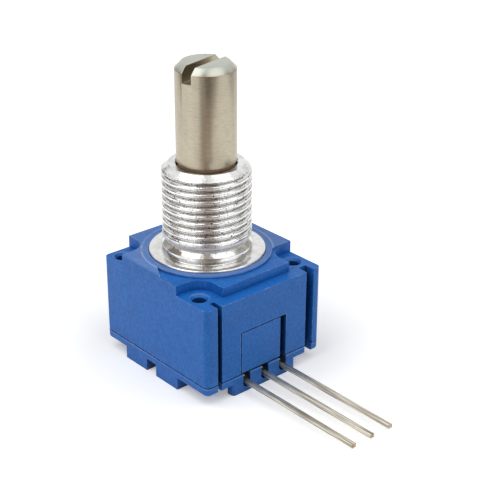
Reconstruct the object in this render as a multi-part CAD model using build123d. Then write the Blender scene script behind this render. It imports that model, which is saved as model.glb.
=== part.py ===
from build123d import *
import os
from math import floor

# Square single-turn panel potentiometer with a threaded bushing and three pins to the front.
# Millimetres. X is across, -Y is the pin side, +Z runs along the shaft away from the panel.
# The origin is on the shaft's axis, in the bushing flange's face that meets the panel.

# Housing: a square moulding with a shallow terminal block on its front
body_width = 15.875
terminal_block_depth = 1.40
plateau_drop = 0.20
step_drop = 0.28
pocket_drop = 1.35
housing_height = 10.20
top_wall = 2.40
corner_round = 0.60
edge_round = 0.12
pocket_width = 3.39
pocket_round = 1.90
peg_inset = 1.4875
peg_hole_diameter = 1.50
peg_hole_mouth = 2.08
peg_hole_sink = 0.30
lip_wall = 0.65
lip_gap = 0.05
step_inner_y = 0.35
step_outer_y = -2.00
cavity_radius = 6.70

# Two grooves that run up the front face, and the posts outside them
left_post = 1.4875
left_groove = 0.58
right_post = 1.07
right_groove = 1.07
groove_depth = 1.34

# Window in the front face, and the insert that fills it
window_left = 3.35
window_right = 2.95
window_top = 5.30
window_wall = 1.24
ear_depth = 0.60
ear_width = 0.90
insert_gap = 0.05
insert_line = 0.11
insert_light_gap = 0.79

# Rear cover: plate, feet round its edge and four pegs
cover_thickness = 1.05
cover_round = 0.30
seam_line = 0.12
seam_depth = 0.60
foot_height = 1.25
foot_wall = 1.40
foot_reach = 4.45
foot_notch = 1.60
front_foot_wall = 0.92
front_foot_reach = 4.40
foot_round = 0.40
peg_gap = 0.05
peg_length = 3.00

# Terminals
pin_pitch = 2.54
pin_width = 0.60
pin_thickness = 0.50
pin_round = 0.14
pin_reach = 15.66
pin_axis_below_seam = 1.15
pin_bend = 0.60
pin_tip_chamfer = 0.10
pin_row_behind_front = 3.04
pin_stand = 0.45
slot_width = 1.00
slot_floor_below_seam = 1.75
slot_behind_pin = 0.20

# Bushing
bushing_length = 9.70
base_diameter = 9.70
base_length = 0.69
neck_diameter = 8.70
neck_length = 0.15
thread_diameter = 9.525
thread_pitch = 25.4 / 32
thread_depth = 0.31
thread_groove = 0.454
thread_root_flat = 0.10
first_groove = 0.75
end_bevel = 0.80
end_bevel_length = 0.60
flange_diameter = 12.50
flange_thickness = 1.00
flange_edge = 0.10
boss_diameter = 8.40
boss_gap = 0.03
stake_width = 0.40
stake_height = 0.50
bore_mouth = 0.10

# Shaft
shaft_diameter = 6.35
shaft_gap = 0.03
shaft_reach = 20.40
shaft_end_chamfer = 0.67
undercut_diameter = 5.80
undercut_length = 0.89
undercut_above_bushing = 0.22
driver_slot_width = 1.15
driver_slot_depth = 1.65
driver_slot_angle = 12.5
seal_groove_diameter = 4.70
seal_groove_length = 1.10
seal_below_bushing_end = 2.90
spindle_diameter = 4.80
spindle_flats = 3.80
spindle_length = 3.40

# Thrust washer and retaining clip under the bushing
washer_thickness = 0.25
washer_width = 1.60
washer_gap = 0.05
clip_thickness = 0.50
clip_groove_depth = 0.60
clip_width = 1.10
clip_opening = 55.0
clip_land = 0.35

# Rotor and the end stop
hub_radius = 5.20
rotor_side_gap = 0.50
rotor_plate = 2.25
rotor_fit = 0.02
lug_side_gap = 0.35
lug_top_gap = 0.95
lug_half_angle = 15.0
stop_half_angle = 16.5
stop_hub_gap = 0.30
stop_plate_gap = 0.45
stake_pin_radius = 0.45
stake_pin_length = 0.35
stake_pin_radius_at = 4.20

# Wiper
wiper_edge = 0.30
wiper_hole_radius = 1.20
wiper_plate = 0.20
wiper_gap = 0.02
arm_width = 1.00
arm_thickness = 0.16
arm_window_half = 1.90
arm_toe_length = 0.70
arm_toe_end = 1.35
contact_radius = 0.32
contact_gap = 0.05

# Resistance element
element_thickness = 0.85
element_half_width = 5.30
element_back = 5.50
element_front_gap = 2.39
element_seat = 0.05
element_side_gap = 0.10
print_thickness = 0.05
track_radius = 5.00
track_width = 1.20
collector_radius = 2.60
collector_width = 1.20
track_half_angle = 150.0
pad_end_half_angle = 162.0
pad_width = 1.45
collector_lead_width = 1.20
pin_hole_gap = 0.10
pin_room_gap = 0.25
solder_radius = 0.70
solder_height = 0.35

# How far a cut runs past the face it opens, and how deep joined bodies share material
past = 1.0
root = 0.2

# Levels and places that follow from the sizes
half = body_width / 2
front = -half - terminal_block_depth
z_top = -plateau_drop
z_step = z_top - step_drop
z_pocket = z_top - pocket_drop
z_ceiling = z_top - top_wall
z_seam = z_top - housing_height
z_cover = z_seam - cover_thickness
z_foot = z_cover - foot_height
lip_inner = flange_diameter / 2 + lip_gap
lip_outer = lip_inner + lip_wall
peg_at = half - peg_inset
pin_xs = (-pin_pitch, 0, pin_pitch)
pin_row_y = front + pin_row_behind_front
z_pin = z_seam - pin_axis_below_seam
bore_radius = shaft_diameter / 2 + shaft_gap
z_boss_end = z_ceiling - stake_height
z_washer = z_boss_end - washer_gap
z_clip = z_washer - washer_thickness - washer_gap
z_shoulder = z_clip - clip_thickness - clip_land
z_rotor_end = z_shoulder - spindle_length
z_rotor_plate = z_rotor_end + rotor_plate
z_wiper = z_rotor_end - wiper_gap
rotor_radius = cavity_radius - rotor_side_gap
lug_radius = cavity_radius - lug_side_gap
element_front = front + element_front_gap
z_element = z_seam + element_seat + element_thickness
z_print = z_element + print_thickness


def block(x0, x1, y0, y1, z0, z1):
    """A box between two opposite corners."""
    return Pos(x0, y0, z0) * Box(x1 - x0, y1 - y0, z1 - z0, align=(Align.MIN,) * 3)


def disc(radius, z0, z1, x=0, y=0):
    """An upright round bar between two levels."""
    return Pos(x, y, z0) * Cylinder(radius, z1 - z0, align=(Align.CENTER, Align.CENTER, Align.MIN))


def ring(inner, outer, z0, z1, x=0, y=0):
    """An upright ring between two levels."""
    return disc(outer, z0, z1, x, y) - disc(inner, z0 - past, z1 + past, x, y)


def sector(inner, outer, middle, half_angle, z0, z1):
    """A stretch of a ring about the shaft, half_angle degrees to each side of middle."""
    section = Plane.XZ * Pos((inner + outer) / 2, (z0 + z1) / 2) * Rectangle(outer - inner, z1 - z0)
    return Rot(0, 0, middle - half_angle) * revolve(section, Axis.Z, revolution_arc=2 * half_angle)


def turned(points):
    """A turned solid from its half section, as radius and height."""
    return revolve(Plane.XZ * make_face(Polyline(*points, close=True)), Axis.Z)


def body_plan():
    """The housing's outline: the square and the terminal block on its front."""
    plan = Pos(0, (half + front) / 2) * Rectangle(body_width, half - front)
    return fillet(plan.vertices(), corner_round)


def corner_pocket_plan():
    """One corner pocket, rounded about its peg hole, and open past the body's sides."""
    side = pocket_width + terminal_block_depth
    plan = Pos(half - pocket_width, half - pocket_width) * Rectangle(side, side, align=(Align.MIN, Align.MIN))
    inner = plan.vertices().sort_by_distance((0, 0, 0))[0]
    return fillet(inner, pocket_round)


def front_grooves(z0, z1):
    """The two grooves up the front face, as solids to cut away."""
    back = front + groove_depth
    left = block(-half + left_post, -half + left_post + left_groove, front - 1, back, z0, z1)
    right = block(half - right_post - right_groove, half - right_post, front - 1, back, z0, z1)
    return left + right


def lower_plateau():
    """The part of the top face that lies one step down, from the left side round to the front."""
    out = half + past
    plan = make_face(
        Polyline(
            (0, 0),
            (-lip_outer + lip_wall / 2, step_inner_y),
            (-half, step_outer_y),
            (-out, step_outer_y),
            (-out, front - past),
            (out, front - past),
            (out, pocket_width - half),
            (half - pocket_width, pocket_width - half),
            close=True,
        )
    )
    region = extrude(Pos(0, 0, z_step) * plan, step_drop + past)
    return region - disc(lip_outer, z_step - past, z_top + 2 * past)


def window():
    """The window in the front wall and the wider pocket behind it, as a solid to cut away."""
    wall_end = front + window_wall
    top = z_top - window_top
    face = block(-window_left, window_right, front - past, wall_end + ear_depth, z_seam - past, top)
    ears = block(-window_left - ear_width, window_right + ear_width, wall_end, wall_end + ear_depth,
                 z_seam - past, top)
    return face + ears


def element_room():
    """The room for the element under the cavity, and for the pins' ends over it."""
    side = element_half_width + element_side_gap
    back = element_back + element_side_gap
    plate = block(-side, side, element_front - element_side_gap, back, z_seam - past, z_element + rotor_fit)
    reach = pin_pitch + solder_radius + pin_room_gap
    pins = block(-reach, reach, element_front - element_side_gap, -track_radius,
                 z_seam - past, z_print + pin_stand + pin_room_gap)
    return plate + pins


def housing():
    """The moulded housing: open below, with the bushing's seat, the end stop and the element's seat."""
    shell = extrude(Pos(0, 0, z_seam) * body_plan(), z_top - z_seam)
    shell -= block(-half - past, half + past, front - past, -half, z_pocket, z_top + past)
    pocket = extrude(Pos(0, 0, z_pocket) * corner_pocket_plan(), pocket_drop + past)
    for angle in (0, 90, 180, 270):
        shell -= Rot(0, 0, angle) * pocket
    shell -= lower_plateau()
    rim = shell.faces().filter_by(Axis.Z).group_by(Axis.Z)[-1].edges()
    outer_rim = [e for e in rim if max(abs(e.center().X), abs(e.center().Y)) > half - edge_round]
    shell = fillet(outer_rim, edge_round)
    for x in (-peg_at, peg_at):
        for y in (-peg_at, peg_at):
            shell -= disc(peg_hole_diameter / 2, z_seam - past, z_top + past, x, y)
            sink = Cone(peg_hole_diameter / 2, peg_hole_mouth / 2, peg_hole_sink)
            shell -= Pos(x, y, z_pocket - peg_hole_sink / 2) * sink
    shell -= front_grooves(z_seam - past, z_top + past)
    shell -= window()
    shell -= disc(lip_inner, -flange_thickness - boss_gap, z_top + past)
    shell -= disc(boss_diameter / 2 + boss_gap, z_seam, z_top + past)
    shell -= disc(cavity_radius, z_seam - past, z_ceiling)
    shell -= element_room()
    stop = sector(hub_radius + stop_hub_gap, cavity_radius + root, -90, stop_half_angle,
                  z_rotor_plate + stop_plate_gap, z_ceiling + root)
    return shell + stop


def terminal_insert():
    """The insert that fills the window from below, with ears behind the front wall."""
    top = z_top - window_top - insert_line
    body = block(-window_left + insert_line, window_right - insert_light_gap, front,
                 front + window_wall + ear_depth - insert_gap, z_seam + insert_gap, top)
    ears = block(-window_left - ear_width + insert_gap, window_right + ear_width - insert_gap,
                 front + window_wall + insert_gap, front + window_wall + ear_depth - insert_gap,
                 z_seam + insert_gap, top)
    return body + ears


def foot_pair(angle):
    """The two feet along one side, at the side that faces angle degrees from +X."""
    foot = block(half - foot_wall, half, foot_notch / 2, foot_reach, z_foot, z_cover + cover_round + root)
    return Rot(0, 0, angle) * (foot + mirror(foot, Plane.XZ))


def front_foot():
    """The foot along the front, with rounded ends, flush with the terminal block."""
    width = 2 * front_foot_reach
    plan = Pos(0, front + front_foot_wall / 2) * Rectangle(width, front_foot_wall)
    outer = plan.vertices().group_by(Axis.Y)[0]
    return extrude(Pos(0, 0, z_foot) * fillet(outer, foot_round), foot_height + cover_round + root)


def pin_slot(x):
    """The slot that a pin runs out through, with a round floor, as a solid to cut away."""
    back = pin_row_y + pin_thickness / 2 + slot_behind_pin
    floor_axis = z_seam - slot_floor_below_seam + slot_width / 2
    upper = block(x - slot_width / 2, x + slot_width / 2, front - past, back, floor_axis, z_seam + past)
    length = back - front + past
    lower = Pos(x, back - length / 2, floor_axis) * Rot(90, 0, 0) * Cylinder(slot_width / 2, length)
    return upper + lower


def rear_cover():
    """The rear cover: plate, feet, pin slots and the pegs that hold it in the housing."""
    plate = extrude(Pos(0, 0, z_cover) * body_plan(), cover_thickness - seam_line)
    cover = fillet(plate.faces().sort_by(Axis.Z)[0].edges(), cover_round)
    cover += extrude(Pos(0, 0, z_cover + cover_round) * offset(body_plan(), -seam_depth),
                     cover_thickness - cover_round)
    cover += front_foot()
    for angle in (0, 90, 180):
        cover += foot_pair(angle)
    cover -= front_grooves(z_foot - past, z_seam + past)
    for x in pin_xs:
        cover -= pin_slot(x)
    for x in (-peg_at, peg_at):
        for y in (-peg_at, peg_at):
            cover += disc(peg_hole_diameter / 2 - peg_gap, z_seam - root, z_seam + peg_length, x, y)
    return cover


def bushing():
    """The threaded bushing with its flange, its boss through the housing and the staked rim."""
    crest = thread_diameter / 2
    valley = crest - thread_depth
    neck = neck_diameter / 2
    boss = boss_diameter / 2
    flange = flange_diameter / 2
    base = base_diameter / 2
    neck_start = base_length + base - neck
    neck_end = neck_start + neck_length
    thread_start = neck_end + crest - neck
    points = [
        (bore_radius, z_boss_end),
        (boss + stake_width, z_boss_end),
        (boss + stake_width, z_ceiling - boss_gap),
        (boss, z_ceiling - boss_gap),
        (boss, -flange_thickness),
        (flange, -flange_thickness),
        (flange, -flange_edge),
        (flange - flange_edge, 0),
        (base, 0),
        (base, base_length),
        (neck, neck_start),
        (neck, neck_end),
        (crest, thread_start),
    ]
    first = thread_start + first_groove
    last = bushing_length - end_bevel_length - thread_groove / 2
    for turn in range(floor((last - first) / thread_pitch) + 1):
        middle = first + turn * thread_pitch
        points.append((crest, middle - thread_groove / 2))
        points.append((valley, middle - thread_root_flat / 2))
        points.append((valley, middle + thread_root_flat / 2))
        points.append((crest, middle + thread_groove / 2))
    points += [
        (crest, bushing_length - end_bevel_length),
        (crest - end_bevel, bushing_length),
        (bore_radius + bore_mouth, bushing_length),
        (bore_radius, bushing_length - bore_mouth),
    ]
    return turned(points)


def shaft():
    """The shaft: slotted end, undercut, seal groove, clip groove and the flatted spindle."""
    radius = shaft_diameter / 2
    undercut_top = bushing_length + undercut_above_bushing
    seal_top = bushing_length - seal_below_bushing_end
    points = [
        (0, z_rotor_end),
        (spindle_diameter / 2, z_rotor_end),
        (spindle_diameter / 2, z_shoulder),
        (radius, z_shoulder),
        (radius, z_clip - clip_thickness),
        (radius - clip_groove_depth, z_clip - clip_thickness),
        (radius - clip_groove_depth, z_clip),
        (radius, z_clip),
        (radius, seal_top - seal_groove_length),
        (seal_groove_diameter / 2, seal_top - seal_groove_length),
        (seal_groove_diameter / 2, seal_top),
        (radius, seal_top),
        (radius, undercut_top - undercut_length),
        (undercut_diameter / 2, undercut_top - undercut_length),
        (undercut_diameter / 2, undercut_top),
        (radius, undercut_top),
        (radius, shaft_reach - shaft_end_chamfer),
        (radius - shaft_end_chamfer, shaft_reach),
        (0, shaft_reach),
    ]
    bar = turned(points)
    slot = Box(shaft_diameter + past, driver_slot_width, 2 * driver_slot_depth)
    bar -= Pos(0, 0, shaft_reach) * Rot(0, 0, driver_slot_angle) * slot
    flat = block(spindle_flats / 2, shaft_diameter, -shaft_diameter, shaft_diameter,
                 z_rotor_end - past, z_shoulder)
    return bar - flat - mirror(flat, Plane.YZ)


def shaft_seal():
    """The O-ring in the shaft's groove, just clear of the bushing's bore."""
    inner = seal_groove_diameter / 2
    outer = shaft_diameter / 2
    middle = bushing_length - seal_below_bushing_end - seal_groove_length / 2
    return Pos(0, 0, middle) * Torus((inner + outer) / 2, (outer - inner) / 2)


def thrust_washer():
    """The washer between the bushing's end and the clip."""
    return ring(bore_radius, bore_radius + washer_width, z_washer - washer_thickness, z_washer)


def retaining_clip():
    """The open spring clip in the shaft's groove."""
    inner = shaft_diameter / 2 - clip_groove_depth + rotor_fit
    outer = shaft_diameter / 2 + clip_width
    low = z_clip - clip_thickness + rotor_fit
    return sector(inner, outer, -90, 180 - clip_opening / 2, low, z_clip - rotor_fit)


def rotor():
    """The moulded rotor on the spindle's flats, with the stop lug and two stake pins."""
    solid = disc(hub_radius, z_rotor_end, z_shoulder)
    solid += disc(rotor_radius, z_rotor_end, z_rotor_plate)
    solid += sector(hub_radius - root, lug_radius, 90, lug_half_angle,
                    z_rotor_plate - root, z_ceiling - lug_top_gap)
    bore = disc(spindle_diameter / 2 + rotor_fit, z_rotor_end - past, z_shoulder + past)
    across = spindle_flats / 2 + rotor_fit
    solid -= bore & block(-across, across, -hub_radius, hub_radius, z_rotor_end - past, z_shoulder + past)
    for x in (-stake_pin_radius_at, stake_pin_radius_at):
        solid += disc(stake_pin_radius, z_wiper - wiper_plate - stake_pin_length, z_rotor_end + root, x)
    return solid


def arm_rows():
    """The middles of the two wiper arms, one over the collector and one over the track."""
    return (collector_radius, track_radius)


def wiper_arm(y):
    """One sprung arm that slopes from the plate down to its contact."""
    top = z_wiper - wiper_plate
    toe = z_print + contact_gap + contact_radius
    bend = arm_toe_end - arm_toe_length
    profile = Polyline(
        (-arm_window_half - root, top),
        (-arm_window_half - root, top + arm_thickness),
        (-arm_window_half + arm_thickness, top + arm_thickness),
        (bend + arm_thickness / 2, toe + arm_thickness),
        (arm_toe_end, toe + arm_thickness),
        (arm_toe_end, toe),
        (bend, toe),
        (-arm_window_half, top),
        close=True,
    )
    strip = Plane.XZ * make_face(profile)
    return Pos(0, y + arm_width / 2, 0) * extrude(strip, arm_width)


def wiper_spring():
    """The stamped spring plate under the rotor, with its two arms in a window."""
    low = z_wiper - wiper_plate
    plate = ring(wiper_hole_radius, rotor_radius - wiper_edge, low, z_wiper)
    inner_row, outer_row = arm_rows()
    plate -= block(-arm_window_half, arm_window_half, inner_row - arm_width / 2,
                   outer_row + arm_width / 2, low - past, z_wiper + past)
    for x in (-stake_pin_radius_at, stake_pin_radius_at):
        plate -= disc(stake_pin_radius + rotor_fit, low - past, z_wiper + past, x)
    for y in arm_rows():
        plate += wiper_arm(y)
    return plate


def wiper_contact(y):
    """One half-round precious-metal contact under an arm's toe."""
    x = arm_toe_end - arm_toe_length / 2
    z = z_print + contact_gap + contact_radius
    bar = Pos(x, y, z) * Rot(90, 0, 0) * Cylinder(contact_radius, arm_width)
    lower = block(x - past, x + past, y - arm_width, y + arm_width, z - past, z)
    return bar & lower


def ceramic_element():
    """The ceramic plate that carries the printed tracks, with a hole for each pin."""
    plate = block(-element_half_width, element_half_width, element_front, element_back,
                  z_seam + element_seat, z_element)
    for x in pin_xs:
        plate -= pin_hole(x)
    return plate


def pin_hole(x):
    """The hole for one pin through the plate and its print, as a solid to cut away."""
    dx = pin_width / 2 + pin_hole_gap
    dy = pin_thickness / 2 + pin_hole_gap
    return block(x - dx, x + dx, pin_row_y - dy, pin_row_y + dy, z_seam - past, z_print + past)


def resistive_track():
    """The printed cermet track, open towards the pins."""
    return sector(track_radius - track_width / 2, track_radius + track_width / 2, 90,
                  track_half_angle, z_element, z_print)


def end_pad(side):
    """The printed conductor from one end of the track to its pin."""
    inner = track_radius - track_width / 2
    outer = track_radius + track_width / 2
    sweep = (pad_end_half_angle - track_half_angle) / 2
    middle = 90 - side * (track_half_angle + sweep)
    pad = sector(inner, outer, middle, sweep, z_element, z_print)
    near = side * pin_pitch - pad_width / 2
    strip = block(near, near + pad_width, element_front, -track_radius, z_element, z_print)
    strip -= disc(outer, z_element - past, z_print + past)
    return pad + strip - pin_hole(side * pin_pitch)


def collector_ring():
    """The printed inner ring that the wiper's other contact runs on, with its lead to the middle pin."""
    collector = ring(collector_radius - collector_width / 2, collector_radius + collector_width / 2,
                     z_element, z_print)
    lead = block(-collector_lead_width / 2, collector_lead_width / 2, element_front,
                 -collector_radius, z_element, z_print)
    return collector + lead - pin_hole(0)


def terminal_pin(x):
    """One pin: straight out of the front, bent up inside and through the element."""
    tip = front - pin_reach
    top = z_print + pin_stand
    path = FilletPolyline((x, tip, z_pin), (x, pin_row_y, z_pin), (x, pin_row_y, top), radius=pin_bend)
    section = Plane((x, tip, z_pin), x_dir=(1, 0, 0), z_dir=(0, 1, 0)) * RectangleRounded(
        pin_width, pin_thickness, pin_round
    )
    wire = sweep(section, path)
    end = wire.faces().sort_by(Axis.Y)[0]
    return chamfer(end.edges(), pin_tip_chamfer)


def solder_joint(x):
    """The cone of solder round one pin, on its printed pad."""
    cone = Pos(x, pin_row_y, z_print + solder_height / 2) * Cone(
        solder_radius, solder_radius / 2 + pin_hole_gap, solder_height
    )
    hole = block(x - pin_width / 2, x + pin_width / 2, pin_row_y - pin_thickness / 2,
                 pin_row_y + pin_thickness / 2, z_print - past, z_print + past)
    return cone - hole


def save(solid, node):
    """Writes one node's solid."""
    export_step(solid, f"parts/{node}.step")


def main():
    """Builds and writes every node."""
    os.makedirs("parts", exist_ok=True)
    save(housing(), "housing")
    save(rear_cover(), "rear_cover")
    save(terminal_insert(), "terminal_insert")
    save(bushing(), "bushing")
    save(shaft(), "shaft")
    save(shaft_seal(), "shaft_seal")
    save(thrust_washer(), "thrust_washer")
    save(retaining_clip(), "retaining_clip")
    save(rotor(), "rotor")
    save(wiper_spring(), "wiper_spring")
    for y, name in zip(arm_rows(), ("collector", "track")):
        save(wiper_contact(y), f"{name}_contact")
    save(ceramic_element(), "ceramic_element")
    save(resistive_track(), "resistive_track")
    save(collector_ring(), "collector_ring")
    save(end_pad(-1), "end_pad_left")
    save(end_pad(1), "end_pad_right")
    for number, x in enumerate(pin_xs, start=1):
        save(terminal_pin(x), f"terminal_pin_{number}")
        save(solder_joint(x), f"solder_joint_{number}")


if __name__ == "__main__":
    main()
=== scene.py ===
import logging
from dataclasses import dataclass, field
from enum import Enum
from math import cos, pi, radians, sin

import bmesh
import bpy
from mathutils import Matrix, Vector


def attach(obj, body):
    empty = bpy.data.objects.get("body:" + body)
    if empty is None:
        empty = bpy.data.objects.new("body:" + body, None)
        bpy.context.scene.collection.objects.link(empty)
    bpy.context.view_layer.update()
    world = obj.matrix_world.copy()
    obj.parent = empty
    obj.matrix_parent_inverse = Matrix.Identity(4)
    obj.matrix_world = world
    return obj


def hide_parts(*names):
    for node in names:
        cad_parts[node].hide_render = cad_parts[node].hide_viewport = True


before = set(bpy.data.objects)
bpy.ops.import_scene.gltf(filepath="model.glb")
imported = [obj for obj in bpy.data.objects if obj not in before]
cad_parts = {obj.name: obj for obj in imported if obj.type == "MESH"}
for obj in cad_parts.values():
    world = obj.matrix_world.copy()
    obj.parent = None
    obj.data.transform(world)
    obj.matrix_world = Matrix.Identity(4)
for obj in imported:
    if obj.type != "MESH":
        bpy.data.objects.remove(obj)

LOG = logging.getLogger("potentiometer")
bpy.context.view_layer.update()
MM = 0.001
# Vertices nearer than this are one, and edges shorter than this go
WELD = 0.0005 * MM
# Faces that meet at more than this many degrees have a real edge between them
EDGE_ANGLE = 32.0
# Faces that meet at less than this many degrees are one face
FLAT_ANGLE = 0.5
# Samples of the nodes that look round a point
AROUND_SAMPLES = 8
BEVEL_SAMPLES = 6
MATT_ROUGHNESS = 0.9
MULTIPLY = {"operation": "MULTIPLY"}
WHITE = (1, 1, 1, 1)
# The Mix node has each of its names more than once, so its colour sockets go by number
MIX_AMOUNT, MIX_FIRST, MIX_SECOND, MIX_RESULT = 0, 6, 7, 2


class Body(Enum):
    """The two bodies that pieces ride on."""

    CASE = "case"
    ROTOR_SHAFT = "rotor_shaft"


class Kind(Enum):
    """The kinds of node that the materials and the world are made of."""

    AROUND = "ShaderNodeAmbientOcclusion"
    BACKGROUND = "ShaderNodeBackground"
    BEVEL = "ShaderNodeBevel"
    BUMP = "ShaderNodeBump"
    COORDINATES = "ShaderNodeTexCoord"
    GEOMETRY = "ShaderNodeNewGeometry"
    LIGHT_PATH = "ShaderNodeLightPath"
    MAPPING = "ShaderNodeMapping"
    MAP_RANGE = "ShaderNodeMapRange"
    MATH = "ShaderNodeMath"
    MIX = "ShaderNodeMix"
    NOISE = "ShaderNodeTexNoise"
    SEPARATE = "ShaderNodeSeparateXYZ"
    SHADER = "ShaderNodeBsdfPrincipled"
    SURFACE_OUTPUT = "ShaderNodeOutputMaterial"
    VECTOR_MATH = "ShaderNodeVectorMath"
    WORLD_OUTPUT = "ShaderNodeOutputWorld"


Source = bpy.types.Node | bpy.types.NodeSocket


def srgb(code: str) -> tuple[float, float, float, float]:
    """Turns an sRGB hex colour into linear values.

    Args:
        code: The colour as six hex digits after a hash.

    Returns:
        Linear red, green and blue, and an alpha of 1.
    """
    values = [int(code[i:i + 2], 16) / 255 for i in (1, 3, 5)]
    linear = [v / 12.92 if v <= 0.04045 else ((v + 0.055) / 1.055) ** 2.4 for v in values]
    return (*linear, 1.0)


def onto(low: float, high: float, start: float = 0.3, end: float = 0.7) -> dict[int, float]:
    """Gives the socket values that map start and end onto low and high. Noise lies mostly in 0.3 to 0.7."""
    return {1: start, 2: end, 3: low, 4: high}


def features(size: float, detail: float = 2.0, seed: float = 0.0) -> dict[str, object]:
    """Gives the settings of a pattern whose features are that many millimetres across."""
    return {"noise_dimensions": "4D", "Scale": 1.0 / (size * MM), "Detail": detail, "W": seed}


def output_of(source: Source) -> bpy.types.NodeSocket:
    """Gives a node's first output, or an output as it is."""
    return source.outputs[0] if isinstance(source, bpy.types.Node) else source


def add_node(tree: bpy.types.NodeTree, kind: Kind, settings: dict | None = None,
             links: dict | None = None) -> bpy.types.Node:
    """Adds one node with its settings and its links.

    Args:
        tree: The tree that the node goes into.
        kind: The node's kind.
        settings: Values by socket name, socket number or node property.
        links: Nodes or their outputs, by the name or number of the input that they feed.

    Returns:
        The new node.
    """
    node = tree.nodes.new(kind.value)
    sockets = {}
    for key, value in (settings or {}).items():
        if isinstance(key, str) and key not in node.inputs and hasattr(node, key):
            setattr(node, key, value)
        else:
            sockets[key] = value
    for key, value in sockets.items():
        node.inputs[key].default_value = value
    for key, source in (links or {}).items():
        tree.links.new(output_of(source), node.inputs[key])
    return node


@dataclass
class Sheet:
    """A new material's node tree with its shader and its object coordinates."""

    name: str
    material: bpy.types.Material = field(init=False)

    def __post_init__(self) -> None:
        """Makes the material, its output, its shader and its coordinates."""
        self.material = bpy.data.materials.new(self.name)
        self.material.use_nodes = True
        self.tree = self.material.node_tree
        self.tree.nodes.clear()
        self.shader = self.add(Kind.SHADER)
        self.add(Kind.SURFACE_OUTPUT, links={"Surface": self.shader})
        self.place = self.add(Kind.COORDINATES).outputs["Object"]

    def add(self, kind: Kind, settings: dict | None = None, links: dict | None = None) -> bpy.types.Node:
        """Adds a node to this sheet."""
        return add_node(self.tree, kind, settings, links)

    def feed(self, name: str, source: Source) -> None:
        """Feeds one of the shader's inputs."""
        self.tree.links.new(output_of(source), self.shader.inputs[name])

    def paint(self, base: Source, colour: str, *masks: Source) -> bpy.types.NodeSocket:
        """Lays a colour over the one below, as strongly as all its masks together allow.

        Args:
            base: The colour below.
            colour: The sRGB hex colour on top.
            masks: Values from 0 to 1, which are multiplied.

        Returns:
            The colour that shows.
        """
        amount = masks[0]
        for mask in masks[1:]:
            amount = self.add(Kind.MATH, MULTIPLY, {0: amount, 1: mask})
        settings = {"data_type": "RGBA", MIX_SECOND: srgb(colour)}
        mixed = self.add(Kind.MIX, settings, {MIX_AMOUNT: amount, MIX_FIRST: base})
        return mixed.outputs[MIX_RESULT]

    def between(self, value: Source, low: float, high: float, rise: float, fall: float) -> bpy.types.Node:
        """Gives 1 where a length is between two others, with soft ends inside them.

        Args:
            value: The length.
            low: Where it starts to rise from 0, in millimetres.
            high: Where it is back at 0, in millimetres.
            rise: The length of the lower end in millimetres.
            fall: The length of the upper end in millimetres.

        Returns:
            The node whose output is the strength, from 0 to 1.
        """
        start = self.add(Kind.MAP_RANGE, onto(0, 1, low * MM, (low + rise) * MM), {0: value})
        end = self.add(Kind.MAP_RANGE, onto(1, 0, (high - fall) * MM, high * MM), {0: value})
        return self.add(Kind.MATH, MULTIPLY, {0: start, 1: end})

    def ring(self, radius: float, width: float, centre: float = 0.0) -> bpy.types.Node:
        """Gives a soft ring round the Z axis, or round four upright axes.

        Args:
            radius: The ring's radius in millimetres.
            width: How far it fades to each side.
            centre: The place of the four axes on X and Y, the same to all sides.

        Returns:
            The node whose output is the ring's strength, from 0 to 1.
        """
        axis = (centre * MM, centre * MM, 0)
        folded = self.add(Kind.VECTOR_MATH, {"operation": "ABSOLUTE"}, {0: self.place})
        about = self.add(Kind.VECTOR_MATH, {"operation": "SUBTRACT", 1: axis}, {0: folded})
        flat = self.add(Kind.VECTOR_MATH, {"operation": "MULTIPLY", 1: (1, 1, 0)}, {0: about})
        out = self.add(Kind.VECTOR_MATH, {"operation": "LENGTH"}, {0: flat}).outputs["Value"]
        return self.between(out, radius - width, radius + width, width, width)

    def edges(self, radius: float) -> bpy.types.Node:
        """Gives a value that is high along outer and inner edges.

        Args:
            radius: How far from an edge it reaches, in millimetres.

        Returns:
            The node whose output is 0 on flat faces and rises towards an edge.
        """
        rounded = self.add(Kind.BEVEL, {"samples": BEVEL_SAMPLES, "Radius": radius * MM})
        flat = self.add(Kind.GEOMETRY).outputs["Normal"]
        same = self.add(Kind.VECTOR_MATH, {"operation": "DOT_PRODUCT"}, {0: rounded, 1: flat})
        return self.add(Kind.MATH, {"operation": "SUBTRACT", 0: 1.0}, {1: same.outputs["Value"]})


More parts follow.
